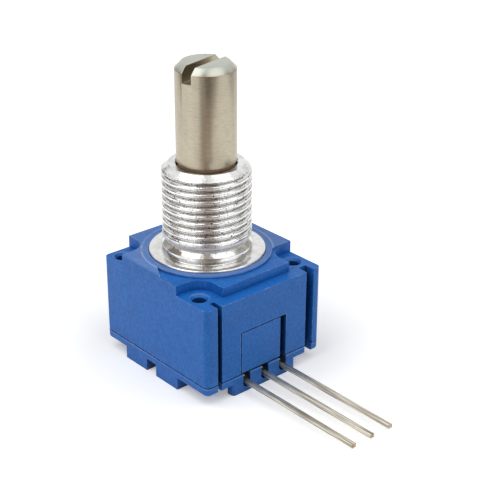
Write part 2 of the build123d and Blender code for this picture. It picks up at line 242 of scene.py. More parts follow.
@dataclass(frozen=True)
class MouldedPolyester:
    """Glass-filled polyester (PBT), injection moulded: satin and even, with a faint peel, pale edges that are
    partly burrs and partly painted highlights, painted shade in its hollows and a plateau painted paler as if
    lit from above.
    """

    name: str = "glass_filled_pbt_moulded"
    colour: str = "#1873cd"
    deep: str = "#0f60b3"
    # Pale colour of real marks (burrs, specks, the plateau's circle) and of the painted highlights on the
    # edges
    pale_mark_and_highlight: str = "#b9d0f0"
    # Paler blue painted on the plateau from this height up, as painted light from above
    painted_top_light: str = "#b4c3df"
    top_light_from: float = -0.32
    # Painted shade in grooves and corners, and how far round a point the shading looks
    painted_cavity_shade: str = "#031a40"
    cavity_shade_mm: float = 1.9
    edge_mm: float = 0.15
    roughness: tuple[float, float] = (0.42, 0.54)
    ior: float = 1.50
    specular: float = 0.42
    flow_mm: float = 2.8
    mottle_mm: float = 0.30
    mottle_share: float = 2.5
    sheen_mm: float = 0.8
    ragged_mm: float = 0.5
    patch_mm: float = 1.6
    speck_mm: float = 0.22
    peel_mm: float = 0.55
    peel_depth: float = 0.010
    grain_mm: float = 0.16
    grain_depth: float = 0.003
    # Radius and fade of the pale circle on the plateau, and of the pale mouths of the peg holes, which are
    # partly painted highlight on their edges
    circle: tuple[float, float] = (7.05, 0.16)
    hole_mouth_mark_and_highlight: tuple[float, float] = (1.02, 0.10)
    hole_at: float = 6.45
    pocket_floor: float = -1.55
    seam: tuple[float, float] = (-10.52, -10.40)
    seam_soft: float = 0.06
    # How far down the cover's upper edge the painted highlight reaches
    cover_highlight: float = 0.24

    def material(self) -> bpy.types.Material:
        """Builds the node material.

        Returns:
            The material.
        """
        sheet = Sheet(self.name)
        flow = sheet.add(Kind.NOISE, features(self.flow_mm, 3.0), {"Vector": sheet.place})
        level = sheet.add(Kind.SEPARATE, links={0: sheet.place}).outputs["Z"]
        # Painted light: the plateau is painted paler, as if lit from above
        top = onto(0, 0.24, (self.top_light_from - 0.06) * MM, self.top_light_from * MM)
        on_top = sheet.add(Kind.MAP_RANGE, top, {0: level})
        base = self.mottled_and_top_lit(sheet, flow, on_top)
        base = self.shaded_and_edge_lit(sheet, base, flow, level)
        base = self.marked(sheet, base, flow, level, on_top)
        sheet.feed("Base Color", base)
        sheen = sheet.add(Kind.NOISE, features(self.sheen_mm, 3.0, 2.0), {"Vector": sheet.place})
        sheet.feed("Roughness", sheet.add(Kind.MAP_RANGE, onto(*self.roughness), {0: sheen}))
        sheet.feed("Normal", self.relief(sheet))
        sheet.shader.inputs["IOR"].default_value = self.ior
        sheet.shader.inputs["Specular IOR Level"].default_value = self.specular
        return sheet.material

    def mottled_and_top_lit(self, sheet: Sheet, flow: Source, on_top: Source) -> bpy.types.NodeSocket:
        """Mottles the body's two blues and paints the plateau paler, as painted light from above.

        Args:
            sheet: The material's sheet.
            flow: The wide pattern of the moulding's flow.
            on_top: High on the plateau.

        Returns:
            The colour.
        """
        mottle = sheet.add(Kind.NOISE, features(self.mottle_mm, 2.0, 6.0), {"Vector": sheet.place})
        both = sheet.add(Kind.MATH, {"operation": "MULTIPLY_ADD", 1: self.mottle_share}, {0: mottle, 2: flow})
        deeper = sheet.add(Kind.MAP_RANGE, onto(0, 1, 1.25, 2.25), {0: both})
        blues = {"data_type": "RGBA", MIX_FIRST: srgb(self.colour), MIX_SECOND: srgb(self.deep)}
        base = sheet.add(Kind.MIX, blues, {MIX_AMOUNT: deeper}).outputs[MIX_RESULT]
        return sheet.paint(base, self.painted_top_light, on_top, sheet.add(Kind.MAP_RANGE, onto(0.45, 1), {0: flow}))

    def shaded_and_edge_lit(self, sheet: Sheet, base: Source, flow: Source, level: Source) -> bpy.types.NodeSocket:
        """Paints shade into cavities and, more weakly, into the seam, a painted highlight on the cover's
        upper edge, and pale burrs with painted highlights along the outer edges.

        Args:
            sheet: The material's sheet.
            base: The colour below.
            flow: The wide pattern of the moulding's flow.
            level: The height.

        Returns:
            The colour.
        """
        # 1 in the open, and less in grooves and corners
        around = {"samples": AROUND_SAMPLES, "Distance": self.cavity_shade_mm * MM}
        openness = sheet.add(Kind.AROUND, around).outputs["AO"]
        low, high = self.seam
        soft = self.seam_soft
        in_seam = sheet.between(level, low - soft, high + soft, soft, soft)
        # Painted shade: a dark blue laid where little of the open is seen, weaker in the seam
        closed = sheet.add(Kind.MAP_RANGE, onto(1, 0, 0.18, 0.60), {0: openness})
        weaker = sheet.add(Kind.MAP_RANGE, onto(1, 0.6, 0, 1), {0: in_seam})
        base = sheet.paint(base, self.painted_cavity_shade, closed, weaker)
        # Painted highlight: the cover's upper edge is painted a little paler, under the dark line of the seam
        cover = sheet.between(level, low - self.cover_highlight, low, 0.05, 0.05)
        base = sheet.paint(base, self.pale_mark_and_highlight, cover, sheet.add(Kind.MAP_RANGE, onto(0.03, 0.22), {0: flow}))
        # Pale burrs and painted highlights along the outer edges, broken up by noise and kept off inner edges
        noise = sheet.add(Kind.NOISE, features(self.ragged_mm, 4.0, 4.0), {"Vector": sheet.place})
        ragged = sheet.add(Kind.MAP_RANGE, onto(0.12, 0.9, 0.50, 0.66), {0: noise})
        edge = sheet.add(Kind.MAP_RANGE, onto(0, 0.8, 0.03, 0.14), {0: sheet.edges(self.edge_mm)})
        outer = sheet.add(Kind.MAP_RANGE, onto(0, 1, 0.62, 0.85), {0: openness})
        return sheet.paint(base, self.pale_mark_and_highlight, edge, ragged, outer)

    def marked(self, sheet: Sheet, base: Source, flow: Source, level: Source,
               on_top: Source) -> bpy.types.NodeSocket:
        """Draws the lip's pale circle on across the plateau, pale mouths at the peg holes that are partly
        painted highlight, and pale specks.

        Args:
            sheet: The material's sheet.
            base: The colour below.
            flow: The wide pattern of the moulding's flow.
            level: The height.
            on_top: High on the plateau.

        Returns:
            The colour.
        """
        patches = sheet.add(Kind.NOISE, features(self.patch_mm, 2.0, 11.0), {"Vector": sheet.place})
        patchy = sheet.add(Kind.MAP_RANGE, onto(0, 0.85, 0.34, 0.50), {0: patches})
        plateau = sheet.add(Kind.MAP_RANGE, onto(0, 1, 0.05, 0.10), {0: on_top})
        strength = sheet.add(Kind.MAP_RANGE, onto(0.45, 0.85), {0: flow})
        base = sheet.paint(base, self.pale_mark_and_highlight, patchy, plateau, sheet.ring(*self.circle), strength)
        # Pale rings at the mouths of the peg holes, partly painted highlight on their edges
        floor = sheet.between(level, self.pocket_floor - 0.12, self.pocket_floor + 0.2, 0.02, 0.02)
        strength = sheet.add(Kind.MAP_RANGE, onto(0.12, 0.42), {0: flow})
        base = sheet.paint(base, self.pale_mark_and_highlight, sheet.ring(*self.hole_mouth_mark_and_highlight, self.hole_at), floor, strength)
        spots = sheet.add(Kind.NOISE, features(self.speck_mm, 1.0, 8.0), {"Vector": sheet.place})
        return sheet.paint(base, self.pale_mark_and_highlight, sheet.add(Kind.MAP_RANGE, onto(0, 0.8, 0.79, 0.83), {0: spots}))

    def relief(self, sheet: Sheet) -> bpy.types.Node:
        """Gives the faint peel with the skin's grain on top of it.

        Args:
            sheet: The material's sheet.

        Returns:
            The node whose output is the bumped normal.
        """
        # The tool's spark-eroded skin is finer than a pixel, so its grain is drawn coarser to show at all
        wide = sheet.add(Kind.NOISE, features(self.peel_mm, 2.0, 1.0), {"Vector": sheet.place})
        fine = sheet.add(Kind.NOISE, features(self.grain_mm, 1.0, 3.0), {"Vector": sheet.place})
        peel = sheet.add(Kind.BUMP, {"Strength": 1.0, "Distance": self.peel_depth * MM}, {"Height": wide})
        grain = {"Strength": 1.0, "Distance": self.grain_depth * MM}
        return sheet.add(Kind.BUMP, grain, {"Height": fine, "Normal": peel})


@dataclass(frozen=True)
class TurnedMetal:
    """A turned and plated surface: lines run round the axis, with small pits and stains, and a colour painted
    into its hollows that stands in for their light and shade.

    A lathe's lines and the pits in plating are some hundredths of a millimetre wide. A pixel of the picture
    is about 0.1 mm, so both are drawn as coarse as they need to be to show.
    """

    name: str
    colour: str
    shade: str
    roughness: tuple[float, float]
    line_mm: float
    line_depth: float
    along: tuple[float, float, float]
    line_share: float = 0.5
    stain_mm: float = 1.1
    stain_share: float = 1.0
    pit_amount: float = 0.0
    pit_mm: float = 0.19
    pit_colour: str = "#2b2622"
    wave_mm: float = 0.45
    wave_depth: float = 0.0
    # Colour painted where little of the open is seen: painted shade when dark, painted light when pale
    painted_hollow: str = "#5e5145"
    painted_hollow_mm: float = 0.8
    painted_hollow_open: tuple[float, float] = (0.35, 0.70)
    # Pits and the painted hollow colour lie between these heights, with ends as soft as the second pair
    pit_and_hollow_band: tuple[float, float] = (-100.0, 100.0)
    pit_and_hollow_ends: tuple[float, float] = (0.3, 0.1)
    dulled: float = 0.0
    # Blasted between these heights, which takes the mirror off, with ends as soft as the second pair
    frosted: tuple[float, float] | None = None
    frosted_ends: tuple[float, float] = (0.12, 0.40)
    frosting: float = 0.5
    # Paler tone of faces that look up: the end face's own tone, and painted light on the chamfer
    faced_and_lit: str = ""

    def material(self) -> bpy.types.Material:
        """Builds the node material.

        Returns:
            The material.
        """
        sheet = Sheet(self.name)
        stretched = sheet.add(Kind.MAPPING, {"Scale": self.along}, {"Vector": sheet.place})
        lines = sheet.add(Kind.NOISE, features(self.line_mm), {"Vector": stretched})
        cloud = sheet.add(Kind.NOISE, features(self.stain_mm, 3.0, 1.0), {"Vector": sheet.place})
        level = sheet.add(Kind.SEPARATE, links={0: sheet.place}).outputs["Z"]
        pit_and_hollow_zone = sheet.between(level, *self.pit_and_hollow_band, *self.pit_and_hollow_ends)
        colour = self.pitted_and_faced(sheet, self.toned(sheet, lines, cloud), pit_and_hollow_zone)
        rough = sheet.add(Kind.MAP_RANGE, onto(*self.roughness), {0: cloud})
        if self.frosted is not None:
            band = sheet.between(level, *self.frosted, *self.frosted_ends)
            cloudy = sheet.add(Kind.MAP_RANGE, onto(0.2, 0.8), {0: cloud})
            colour = sheet.paint(colour, self.shade, band, cloudy)
            blasted = {"operation": "MULTIPLY_ADD", 1: self.frosting}
            rough = sheet.add(Kind.MATH, blasted, {0: band, 2: rough})
        # Painted hollows: a colour laid where little of the open is seen, standing in for the light and shade
        # there
        around = {"samples": AROUND_SAMPLES, "Distance": self.painted_hollow_mm * MM}
        openness = sheet.add(Kind.AROUND, around).outputs["AO"]
        closed = sheet.add(Kind.MAP_RANGE, onto(0.9, 0, *self.painted_hollow_open), {0: openness})
        hollow_amount = sheet.add(Kind.MATH, MULTIPLY, {0: closed, 1: pit_and_hollow_zone})
        sheet.feed("Base Color", sheet.paint(colour, self.painted_hollow, hollow_amount))
        dull = sheet.add(Kind.MATH, {"operation": "MULTIPLY_ADD", 1: self.dulled}, {0: hollow_amount, 2: rough})
        sheet.feed("Roughness", dull)
        sheet.feed("Normal", self.relief(sheet, lines))
        sheet.shader.inputs["Metallic"].default_value = 1.0
        return sheet.material

    def toned(self, sheet: Sheet, lines: Source, cloud: Source) -> bpy.types.NodeSocket:
        """Blends the two tones along the lines and the stains.

        Args:
            sheet: The material's sheet.
            lines: The pattern of the lines.
            cloud: The pattern of the stains.

        Returns:
            The colour.
        """
        squared = sheet.add(Kind.MATH, MULTIPLY, {0: cloud, 1: cloud})
        stain = sheet.add(Kind.MATH, {"operation": "MULTIPLY", 1: self.stain_share}, {0: squared})
        both = sheet.add(Kind.MATH, {"operation": "MULTIPLY_ADD", 1: self.line_share}, {0: lines, 2: stain})
        tone = sheet.add(Kind.MAP_RANGE, onto(0, 1, 0.25, 0.75), {0: both})
        tones = {"data_type": "RGBA", MIX_FIRST: srgb(self.colour), MIX_SECOND: srgb(self.shade)}
        return sheet.add(Kind.MIX, tones, {MIX_AMOUNT: tone}).outputs[MIX_RESULT]

    def pitted_and_faced(self, sheet: Sheet, colour: Source, pit_and_hollow_zone: Source) -> bpy.types.NodeSocket:
        """Adds the pits, and a paler tone on faces that look up: the end face's own tone, and painted light
        on the chamfer.

        Args:
            sheet: The material's sheet.
            colour: The colour below.
            pit_and_hollow_zone: High where pits may lie.

        Returns:
            The colour.
        """
        if self.pit_amount > 0:
            noise = sheet.add(Kind.NOISE, features(self.pit_mm, 2.0, 7.0), {"Vector": sheet.place})
            spots = sheet.add(Kind.MAP_RANGE, onto(0, self.pit_amount, 0.62, 0.65), {0: noise})
            colour = sheet.paint(colour, self.pit_colour, spots, pit_and_hollow_zone)
        # Faces that look up, the end and its chamfer, get a paler tone, partly painted light from above
        if self.faced_and_lit:
            normal = sheet.add(Kind.GEOMETRY).outputs["Normal"]
            up = sheet.add(Kind.SEPARATE, links={0: normal}).outputs["Z"]
            faces_up = sheet.add(Kind.MAP_RANGE, onto(0, 1, 0.50, 0.68), {0: up})
            colour = sheet.paint(colour, self.faced_and_lit, faces_up)
        return colour

    def relief(self, sheet: Sheet, lines: Source) -> bpy.types.Node:
        """Gives the relief of the lines, and the soft waves of thick plating where there are any.

        Args:
            sheet: The material's sheet.
            lines: The pattern of the lines.

        Returns:
            The node whose output is the bumped normal.
        """
        turned = {"Strength": 1.0, "Distance": self.line_depth * MM}
        relief = sheet.add(Kind.BUMP, turned, {"Height": lines})
        if self.wave_depth > 0:
            waves = sheet.add(Kind.NOISE, features(self.wave_mm, 3.0, 9.0), {"Vector": sheet.place})
            plated = {"Strength": 1.0, "Distance": self.wave_depth * MM}
            relief = sheet.add(Kind.BUMP, plated, {"Height": waves, "Normal": relief})
        return relief


@dataclass(frozen=True)
class DrawnWire:
    """A drawn and tinned wire along Y: lines run along it, and the sheared tip shows some bare copper.

    The die's lines are finer than a pixel, so they are drawn coarser to show at all.
    """

    name: str
    colour: str = "#e0dacb"
    shade: str = "#8b8477"
    copper: str = "#b07f66"
    tip: float = -24.92
    tip_soft: float = 0.05
    line_mm: float = 0.15
    along: tuple[float, float, float] = (1.0, 0.03, 1.0)
    stain_mm: float = 0.8
    patch_mm: float = 0.3
    relief_depth: float = 0.012
    roughness: tuple[float, float] = (0.36, 0.52)

    def material(self) -> bpy.types.Material:
        """Builds the node material.

        Returns:
            The material.
        """
        sheet = Sheet(self.name)
        stretched = sheet.add(Kind.MAPPING, {"Scale": self.along}, {"Vector": sheet.place})
        lines = sheet.add(Kind.NOISE, features(self.line_mm), {"Vector": stretched})
        stain = sheet.add(Kind.NOISE, features(self.stain_mm, 3.0, 1.0), {"Vector": sheet.place})
        tones = {"data_type": "RGBA", MIX_FIRST: srgb(self.colour), MIX_SECOND: srgb(self.shade)}
        tone = sheet.add(Kind.MAP_RANGE, onto(0, 1, 0.42, 0.62), {0: lines})
        colour = sheet.add(Kind.MIX, tones, {MIX_AMOUNT: tone}).outputs[MIX_RESULT]
        reach = sheet.add(Kind.SEPARATE, links={0: sheet.place}).outputs["Y"]
        sheared = onto(1, 0, (self.tip - self.tip_soft) * MM, (self.tip + self.tip_soft) * MM)
        bare = sheet.add(Kind.MAP_RANGE, sheared, {0: reach})
        patches = sheet.add(Kind.NOISE, features(self.patch_mm, 1.0, 3.0), {"Vector": sheet.place})
        patchy = sheet.add(Kind.MAP_RANGE, onto(0.1, 0.8, 0.42, 0.56), {0: patches})
        sheet.feed("Base Color", sheet.paint(colour, self.copper, bare, patchy))
        sheet.feed("Roughness", sheet.add(Kind.MAP_RANGE, onto(*self.roughness), {0: stain}))
        depth = {"Strength": 1.0, "Distance": self.relief_depth * MM}
        drawn = sheet.add(Kind.BUMP, depth, {"Height": lines})
        sheet.feed("Normal", sheet.add(Kind.BUMP, depth, {"Height": stain, "Normal": drawn}))
        sheet.shader.inputs["Metallic"].default_value = 1.0
        return sheet.material


@dataclass(frozen=True)
class PlainFinish:
    """A finish of the pieces inside, with a cloudy colour, uneven roughness and a fine relief.

    The real grain of these surfaces is finer than a pixel, so it is drawn coarser to show at all.
    """

    name: str
    colour: str
    shade: str
    roughness: tuple[float, float]
    metallic: float = 0.0
    ior: float = 1.5
    cloud_mm: float = 0.9
    sheen_mm: float = 0.5
    grain_mm: float = 0.15
    grain_depth: float = 0.004

    def material(self) -> bpy.types.Material:
        """Builds the node material.

        Returns:
            The material.
        """
        sheet = Sheet(self.name)
        cloud = sheet.add(Kind.NOISE, features(self.cloud_mm, 3.0), {"Vector": sheet.place})
        tone = sheet.add(Kind.MAP_RANGE, onto(0, 1), {0: cloud})
        tones = {"data_type": "RGBA", MIX_FIRST: srgb(self.colour), MIX_SECOND: srgb(self.shade)}
        sheet.feed("Base Color", sheet.add(Kind.MIX, tones, {MIX_AMOUNT: tone}).outputs[MIX_RESULT])
        sheen = sheet.add(Kind.NOISE, features(self.sheen_mm, 2.0, 2.0), {"Vector": sheet.place})
        sheet.feed("Roughness", sheet.add(Kind.MAP_RANGE, onto(*self.roughness), {0: sheen}))
        grain = sheet.add(Kind.NOISE, features(self.grain_mm, 2.0, 5.0), {"Vector": sheet.place})
        depth = {"Strength": 1.0, "Distance": self.grain_depth * MM}
        sheet.feed("Normal", sheet.add(Kind.BUMP, depth, {"Height": grain}))
        sheet.shader.inputs["Metallic"].default_value = self.metallic
        if self.metallic == 0:
            sheet.shader.inputs["IOR"].default_value = self.ior
        return sheet.material


# Brass under bright nickel: mirror-like, a little warm, with stained spots in the thread and painted shade in
# its roots
BRIGHT_NICKEL = TurnedMetal(
    "nickel_plate_bright", "#e9ebed", "#d0cdc8",
    roughness=(0.07, 0.24), line_mm=0.14, line_depth=0.0160, along=(0.10, 0.10, 1.0),
    pit_amount=1.0, wave_depth=0.030, painted_hollow="#4f4841", painted_hollow_open=(0.38, 0.58), pit_and_hollow_band=(0.8, 9.3),
    frosted=(1.10, 2.15))
# Brass under satin nickel, turned: warm grey with soft bands and hair-fine rings, a paler warm colour painted
# into its undercut and slot as painted light, and a paler tone on faces that look up, partly painted light
SATIN_NICKEL = TurnedMetal(
    "nickel_plate_turned_satin", "#bbb3a0", "#a39a88",
    roughness=(0.30, 0.34), line_mm=0.09, line_depth=0.0022, along=(0.12, 0.12, 1.0),
    line_share=0.88, stain_share=0.24, painted_hollow="#cdb699", painted_hollow_mm=1.2, painted_hollow_open=(0.30, 0.62),
    faced_and_lit="#b6b9ae", dulled=0.5)
# Copper alloy wire under tin: dull silver with lines along the pin and a warm tip
TINNED_WIRE = DrawnWire("tin_plate_drawn")
# Acetal, black, moulded: soft low sheen
BLACK_ACETAL = PlainFinish("acetal_moulded_black", "#17181a", "#0f1011", (0.40, 0.52), ior=1.48)
# Phosphor bronze, rolled and stamped: warm, half bright
SPRING_BRONZE = PlainFinish("phosphor_bronze_stamped", "#c99a63", "#b5834c", (0.22, 0.34), metallic=1.0)
# Brass, stamped: yellow, half bright
STAMPED_BRASS = PlainFinish("brass_stamped", "#cdae6c", "#b8954f", (0.25, 0.38), metallic=1.0)
# Spring steel, blued: dark grey
BLUED_STEEL = PlainFinish("spring_steel_blued", "#6c6e74", "#4f5157", (0.28, 0.42), metallic=1.0)
# Silver alloy wire: pale and bright
SILVER_ALLOY = PlainFinish("silver_alloy_wire", "#d9d5cc", "#c8c2b6", (0.14, 0.24), metallic=1.0)
# Alumina, fired and ground: off-white, matt
FIRED_ALUMINA = PlainFinish("alumina_fired", "#e9e6dd", "#dcd8cc", (0.55, 0.70), ior=1.76, grain_mm=0.08)
# Cermet ink, printed and fired: nearly black, slightly glassy
CERMET_INK = PlainFinish("cermet_ink_fired", "#1b1c1f", "#26282b", (0.30, 0.45), ior=1.6)
# Silver palladium ink, printed and fired: matt grey metal
SILVER_INK = PlainFinish("silver_palladium_ink_fired", "#c9c6bd", "#b4b0a5", (0.40, 0.55), metallic=1.0)
# Tin-lead solder, flowed: bright, smooth
FLOWED_SOLDER = PlainFinish("solder_flowed", "#c7c8c8", "#b2b4b5", (0.18, 0.30), metallic=1.0, grain_mm=0.4)
# Nitrile rubber, moulded: black, dull
NITRILE = PlainFinish("nitrile_rubber_moulded", "#141414", "#1c1c1b", (0.60, 0.75), ior=1.52)


def dress(target: bpy.types.Object, material: bpy.types.Material) -> None:
    """Gives an object one material in place of its own."""
    target.data.materials.clear()
    target.data.materials.append(material)


def shade(target: bpy.types.Object) -> None:
    """Shades an object smooth, with its real edges sharp."""
    target.data.shade_smooth()
    target.data.set_sharp_from_angle(angle=radians(EDGE_ANGLE))


def new_object(name: str, mesh: bmesh.types.BMesh) -> bpy.types.Object:
    """Links a finished mesh to the scene as an object.

    Args:
        name: The piece's name.
        mesh: The mesh, which is freed.

    Returns:
        The new object.
    """
    bmesh.ops.recalc_face_normals(mesh, faces=mesh.faces)
    data = bpy.data.meshes.new(name)
    mesh.to_mesh(data)
    mesh.free()
    made = bpy.data.objects.new(name, data)
    bpy.context.scene.collection.objects.link(made)
    return made


def softened(node: str, width: float, segments: int = 2) -> bpy.types.Object:
    """Copies a CAD node's mesh and rounds its edges, as the mould or the tumbler leaves them.

    Args:
        node: The CAD node that the piece stands for.
        width: The rounding in millimetres.
        segments: How many faces cross the rounding.

    Returns:
        The new piece, in the node's place.
    """
    mesh = bmesh.new()
    mesh.from_mesh(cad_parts[node].data)
    bmesh.ops.remove_doubles(mesh, verts=mesh.verts, dist=WELD)
    bmesh.ops.dissolve_limit(mesh, angle_limit=radians(FLAT_ANGLE), verts=mesh.verts, edges=mesh.edges)
    piece = new_object(f"{node}_piece", mesh)
    bevel = piece.modifiers.new("rounded_edges", "BEVEL")
    bevel.width = width * MM
    bevel.segments = segments
    bevel.limit_method = "ANGLE"
    bevel.angle_limit = radians(EDGE_ANGLE)
    bevel.harden_normals = True
    shade(piece)
    return piece


@dataclass
class Moulding:
    """One blue moulding, with rounded edges."""

    node: str
    slot: str
    rounding: float

    def build(self) -> bpy.types.Object:
        """Builds the piece from the node and puts it in the node's place.

        Returns:
            The piece.
        """
        piece = softened(self.node, self.rounding)
        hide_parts(self.node)
        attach(piece, Body.CASE.value)
        return piece


@dataclass
class MouldedCase:
    """The blue case: housing, rear cover and the insert over the pins."""

    finish: MouldedPolyester = MouldedPolyester()
    mouldings: tuple[Moulding, ...] = (
        Moulding("housing", "housing_plastic", 0.07),
        Moulding("rear_cover", "cover_plastic", 0.09),
        Moulding("terminal_insert", "insert_plastic", 0.05),
    )

    def build(self) -> list[bpy.types.Object]:
        """Builds and dresses the three mouldings.

        Returns:
            The pieces, in the order of the mouldings.
        """
        material = self.finish.material()
        pieces = [moulding.build() for moulding in self.mouldings]
        for piece in pieces:
            dress(piece, material)
        return pieces


@dataclass
class ThreadedBushing:
    """The bushing: a true helical thread, a relief and a bevelled base under it, and a flat flange."""

    crest: float = 4.7625
    depth: float = 0.36
    pitch: float = 25.4 / 32
    top: float = 9.70
    bevel: float = 0.80
    bevel_length: float = 0.60
    base: float = 4.85
    base_length: float = 0.69
    # How far the softened edge between base and cone reaches up the cone and down the base
    cone_edge: tuple[float, float] = (0.04, 0.03)
    base_fillet: float = 0.03
    neck: float = 4.35
    neck_length: float = 0.15
    first_root: float = 2.00
    # The thread reaches its full depth over this many turns, from this far above the relief
    run_out_turns: float = 1.2
    run_out_from: float = 0.3
    # Turns that are made past each end and then flattened against it
    spare_turns: int = 2
    flange: float = 6.25
    flange_edge: float = 0.15
    flange_edge_steps: int = 3
    flange_thickness: float = 1.0
    boss: float = 4.2
    rim: float = 4.6
    ceiling: float = -2.63
    end: float = -3.1
    bore: float = 3.205
    bore_mouth: float = 0.10
    segments: int = 192
    # One turn's section: the place along the pitch and the share of the full depth
    section: tuple[tuple[float, float], ...] = (
        (0.00, 1.00), (0.04, 0.98), (0.08, 0.88), (0.16, 0.60), (0.26, 0.25), (0.32, 0.08), (0.37, 0.01),
        (0.43, 0.0), (0.57, 0.0), (0.63, 0.01), (0.68, 0.08), (0.74, 0.25), (0.84, 0.60), (0.92, 0.88),
        (0.96, 0.98),
    )

    def neck_top(self) -> float:
        """Gives the height where the relief ends and the thread's lead begins."""
        return self.base_length + self.base - self.neck + self.neck_length

    def limit(self, z: float) -> float:
        """Gives the largest radius that the lead over the relief and the end's bevel leave.

        Args:
            z: The height.

        Returns:
            The radius.
        """
        below = self.neck + z - self.neck_top()
        above = self.crest - max(0.0, z - self.top + self.bevel_length) * self.bevel / self.bevel_length
        return min(self.crest, below, above)

    def thread(self, mesh: bmesh.types.BMesh) -> None:
        """Adds the helical surface from the relief to the end face.

        Args:
            mesh: The mesh that it goes into.
        """
        start = self.neck_top()
        turns = int((self.top - start) / self.pitch) + 2 * self.spare_turns
        fade = self.run_out_turns * self.pitch
        columns = []
        for step in range(self.segments):
            angle = 2 * pi * step / self.segments
            column = []
            for turn in range(turns):
                for place, share in self.section:
                    climb = turn - self.spare_turns + place + step / self.segments
                    z = min(self.top, max(start, self.first_root + climb * self.pitch))
                    run_out = min(1.0, max(0.0, (z - start - self.run_out_from) / fade))
                    radius = min(self.crest - self.depth * share * run_out, self.limit(z))
                    column.append(mesh.verts.new(
                        (radius * cos(angle) * MM, radius * sin(angle) * MM, z * MM)))
            columns.append(column)
        for step, column in enumerate(columns):
            last = step == self.segments - 1
            beside = columns[0][len(self.section):] if last else columns[step + 1]
            for low in range(min(len(column), len(beside)) - 1):
                mesh.faces.new((column[low], beside[low], beside[low + 1], column[low + 1]))

    def lathe(self, mesh: bmesh.types.BMesh, points: list[tuple[float, float]]) -> None:
        """Adds a turned surface.

        Args:
            mesh: The mesh that it goes into.
            points: Radius and height along the section.
        """
        rings = []
        for radius, z in points:
            rings.append([mesh.verts.new((radius * cos(2 * pi * i / self.segments) * MM,
                                          radius * sin(2 * pi * i / self.segments) * MM, z * MM))
                          for i in range(self.segments)])
        for low, high in zip(rings, rings[1:]):
            for i in range(self.segments):
                j = (i + 1) % self.segments
                mesh.faces.new((low[i], low[j], high[j], high[i]))

    def foot(self) -> list[tuple[float, float]]:
        """Gives the section from the thread's lead down the relief and the base, and over the flange.

        Returns:
            Radius and height along the section.
        """
        up, down = self.cone_edge
        points = [
            (self.neck, self.neck_top()), (self.neck, self.neck_top() - self.neck_length),
            (self.base - up, self.base_length + up), (self.base, self.base_length - down),
            (self.base, self.base_fillet), (self.base + self.base_fillet, 0.0),
        ]
        edge = self.flange_edge
        for step in range(self.flange_edge_steps + 1):
            angle = pi / 2 * step / self.flange_edge_steps
            points.append((self.flange - edge + edge * sin(angle), -edge + edge * cos(angle)))
        return points

    def build(self) -> bpy.types.Object:
        """Builds the bushing and puts it in its node's place.

        Returns:
            The bushing.
        """
        mesh = bmesh.new()
        self.thread(mesh)
        inner = [
            (self.crest - self.bevel, self.top), (self.bore + self.bore_mouth, self.top),
            (self.bore, self.top - self.bore_mouth), (self.bore, self.end), (self.rim, self.end),
            (self.rim, self.ceiling), (self.boss, self.ceiling), (self.boss, -self.flange_thickness),
            (self.flange, -self.flange_thickness), (self.flange, -self.flange_edge),
        ]
        self.lathe(mesh, inner)
        self.lathe(mesh, self.foot())
        bmesh.ops.remove_doubles(mesh, verts=mesh.verts, dist=WELD)
        bmesh.ops.dissolve_degenerate(mesh, edges=mesh.edges, dist=WELD)
        piece = new_object("bushing_piece", mesh)
        shade(piece)
        dress(piece, BRIGHT_NICKEL.material())
        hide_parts("bushing")
        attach(piece, Body.CASE.value)
        return piece


@dataclass
class SlottedShaft:
    """The turned shaft with its driver slot."""

    rounding: float = 0.09

    def build(self) -> bpy.types.Object:
        """Builds the shaft and puts it in its node's place.

        Returns:
            The shaft.
        """
        piece = softened("shaft", self.rounding)
        dress(piece, SATIN_NICKEL.material())
        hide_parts("shaft")
        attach(piece, Body.ROTOR_SHAFT.value)
        return piece


@dataclass
class TerminalPins:
    """The three pins, with the rounded corners of drawn wire."""

    nodes: tuple[str, ...] = ("terminal_pin_1", "terminal_pin_2", "terminal_pin_3")
    rounding: float = 0.03
    segments: int = 3

    def build(self) -> list[bpy.types.Object]:
        """Builds the pins and puts them in their nodes' places.

        Returns:
            The three pins.
        """
        material = TINNED_WIRE.material()
        pins = [softened(node, self.rounding, self.segments) for node in self.nodes]
        for node, pin in zip(self.nodes, pins):
            dress(pin, material)
            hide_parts(node)
            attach(pin, Body.CASE.value)
        return pins


@dataclass
class CarriedOver:
    """CAD nodes that stay, each with its finish."""

    finishes: tuple[tuple[PlainFinish, tuple[str, ...]], ...] = (
        (STAMPED_BRASS, ("thrust_washer",)),
        (FIRED_ALUMINA, ("ceramic_element",)),
        (CERMET_INK, ("resistive_track",)),
        (SILVER_INK, ("collector_ring", "end_pad_left", "end_pad_right")),
        (FLOWED_SOLDER, ("solder_joint_1", "solder_joint_2", "solder_joint_3")),
        (NITRILE, ("shaft_seal",)),
        (BLUED_STEEL, ("retaining_clip",)),
        (BLACK_ACETAL, ("rotor",)),
        (SPRING_BRONZE, ("wiper_spring",)),
        (SILVER_ALLOY, ("collector_contact", "track_contact")),
    )

    def build(self) -> list[str]:
        """Dresses the nodes.

        Returns:
            The names of the dressed nodes.
        """
        done = []
        for finish, nodes in self.finishes:
            material = finish.material()
            for node in nodes:
                dress(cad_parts[node], material)
                done.append(node)
        return done


def heading(azimuth: float, elevation: float = 0.0) -> Vector:
    """Gives the unit vector towards an azimuth, where 0 is -Y and 90 is +X, and an elevation in degrees."""
    a, e = radians(azimuth), radians(elevation)
    return Vector((sin(a) * cos(e), -cos(a) * cos(e), sin(e)))


def matt_sheet(name: str, colour: str) -> Sheet:
    """Starts a matt finish of the studio's own, such as paper or painted card.

    Args:
        name: The material's name.
        colour: Its sRGB hex colour.

    Returns:
        The sheet, for more nodes.
    """
    sheet = Sheet(name)
    sheet.shader.inputs["Base Color"].default_value = srgb(colour)
    sheet.shader.inputs["Roughness"].default_value = MATT_ROUGHNESS
    sheet.shader.inputs["Specular IOR Level"].default_value = 0.0
    return sheet


